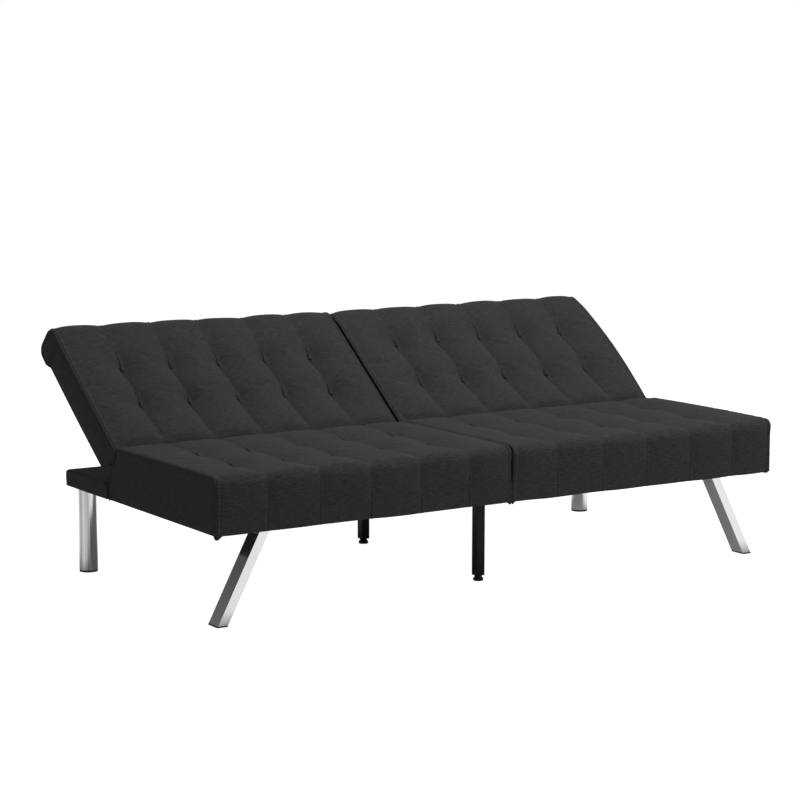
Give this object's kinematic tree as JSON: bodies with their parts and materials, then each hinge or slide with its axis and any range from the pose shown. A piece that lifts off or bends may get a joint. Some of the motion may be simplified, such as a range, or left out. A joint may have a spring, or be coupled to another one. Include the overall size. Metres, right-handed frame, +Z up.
{
  "type": "futon sofa bed",
  "caption": "Low armless futon sofa bed in charcoal linen with split click-clack backs over a padded seat on splayed chrome legs; each back reclines on its own to make a flat bed.",
  "frame": {"origin": "on the floor at the middle of the sofa's footprint, with both backs at the middle, lounging angle", "axes": "+X along the sofa to its right-hand end as seen from the front, -Y towards the front, +Z up"},
  "size_m": [1.79, 1.0034, 0.6631],
  "materials": {
    "charcoal_fabric": "fine heathered linen weave",
    "black_lining": "thin non-woven lining",
    "foam": "open-cell seat foam",
    "pine": "planed softwood",
    "plywood": "sanded plywood",
    "hardboard": "pressed board",
    "chrome": "polished",
    "black_steel": "satin black powder coat",
    "black_plate": "black phosphated steel plate",
    "zinc_steel": "zinc plated",
    "spring_steel": "oiled spring wire",
    "black_plastic": "moulded"
  },
  "bodies": {
    "base": {"centre_leg_plugs": "black_plastic", "centre_legs": "black_steel", "corner_blocks": "pine", "frame_bolts": "zinc_steel", "front_foot_caps": "black_plastic", "front_leg_plates": "black_plate", "hinge_rivets": "zinc_steel", "hinge_seat_bolts": "zinc_steel", "left_deck_board": "plywood", "left_dust_cover": "black_lining", "left_front_leg": "chrome", "left_inner_hinge_seat_plate": "black_plate", "left_outer_hinge_seat_plate": "black_plate", "left_pawl_springs": "spring_steel", "left_rear_leg": "chrome", "left_seat_cover": "charcoal_fabric", "left_seat_cross_rails": "pine", "left_seat_foam": "foam", "left_seat_side_rails": "pine", "left_shelf_cover": "charcoal_fabric", "leg_bolts": "zinc_steel", "rear_foot_caps": "black_plastic", "right_deck_board": "plywood", "right_dust_cover": "black_lining", "right_front_leg": "chrome", "right_inner_hinge_seat_plate": "black_plate", "right_outer_hinge_seat_plate": "black_plate", "right_pawl_springs": "spring_steel", "right_rear_leg": "chrome", "right_seat_cover": "charcoal_fabric", "right_seat_cross_rails": "pine", "right_seat_foam": "foam", "right_seat_side_rails": "pine", "right_shelf_cover": "charcoal_fabric"},
    "left_back": {"left_back_board": "hardboard", "left_back_cover": "charcoal_fabric", "left_back_cross_rails": "pine", "left_back_foam": "foam", "left_back_rear_panel": "black_lining", "left_back_side_rails": "pine", "left_hinge_back_bolts": "zinc_steel", "left_inner_hinge_back_arm": "black_plate", "left_outer_hinge_back_arm": "black_plate"},
    "right_back": {"right_back_board": "hardboard", "right_back_cover": "charcoal_fabric", "right_back_cross_rails": "pine", "right_back_foam": "foam", "right_back_rear_panel": "black_lining", "right_back_side_rails": "pine", "right_hinge_back_bolts": "zinc_steel", "right_inner_hinge_back_arm": "black_plate", "right_outer_hinge_back_arm": "black_plate"},
    "front_glide": {"front_glide_pad": "black_plastic", "front_glide_stud": "zinc_steel"},
    "left_inner_pawl": {"left_inner_hinge_pawl": "black_plate"},
    "left_outer_pawl": {"left_outer_hinge_pawl": "black_plate"},
    "rear_glide": {"rear_glide_pad": "black_plastic", "rear_glide_stud": "zinc_steel"},
    "right_inner_pawl": {"right_inner_hinge_pawl": "black_plate"},
    "right_outer_pawl": {"right_outer_hinge_pawl": "black_plate"}
  },
  "joints": [
    {"name": "left_back_recline", "type": "hinge", "parent": "base", "child": "left_back", "pos_m": [-0.4475, 0.07326, 0.368], "axis": [1, 0, 0], "range_deg": [-36.8, 38.2]},
    {"name": "right_back_recline", "type": "hinge", "parent": "base", "child": "right_back", "pos_m": [0.4475, 0.07326, 0.368], "axis": [1, 0, 0], "range_deg": [-36.8, 38.2]},
    {"name": "left_outer_pawl_lift", "type": "hinge", "parent": "base", "child": "left_outer_pawl", "pos_m": [-0.8635, 0.08326, 0.312], "axis": [1, 0, 0], "range_deg": [0, 16], "stiffness_Nm_per_rad": 0.05, "springref_deg": -28.65, "deforming": ["left_pawl_springs"]},
    {"name": "left_inner_pawl_lift", "type": "hinge", "parent": "base", "child": "left_inner_pawl", "pos_m": [-0.0315, 0.08326, 0.312], "axis": [1, 0, 0], "range_deg": [0, 16], "stiffness_Nm_per_rad": 0.05, "springref_deg": -28.65, "deforming": ["left_pawl_springs"]},
    {"name": "right_outer_pawl_lift", "type": "hinge", "parent": "base", "child": "right_outer_pawl", "pos_m": [0.8635, 0.08326, 0.312], "axis": [1, 0, 0], "range_deg": [0, 16], "stiffness_Nm_per_rad": 0.05, "springref_deg": -28.65, "deforming": ["right_pawl_springs"]},
    {"name": "right_inner_pawl_lift", "type": "hinge", "parent": "base", "child": "right_inner_pawl", "pos_m": [0.0315, 0.08326, 0.312], "axis": [1, 0, 0], "range_deg": [0, 16], "stiffness_Nm_per_rad": 0.05, "springref_deg": -28.65, "deforming": ["right_pawl_springs"]},
    {"name": "front_glide_height", "type": "slide", "parent": "base", "child": "front_glide", "axis": [0, 0, -1], "range_m": [0, 0.012]},
    {"name": "rear_glide_height", "type": "slide", "parent": "base", "child": "rear_glide", "axis": [0, 0, -1], "range_m": [0, 0.012]}
  ]
}
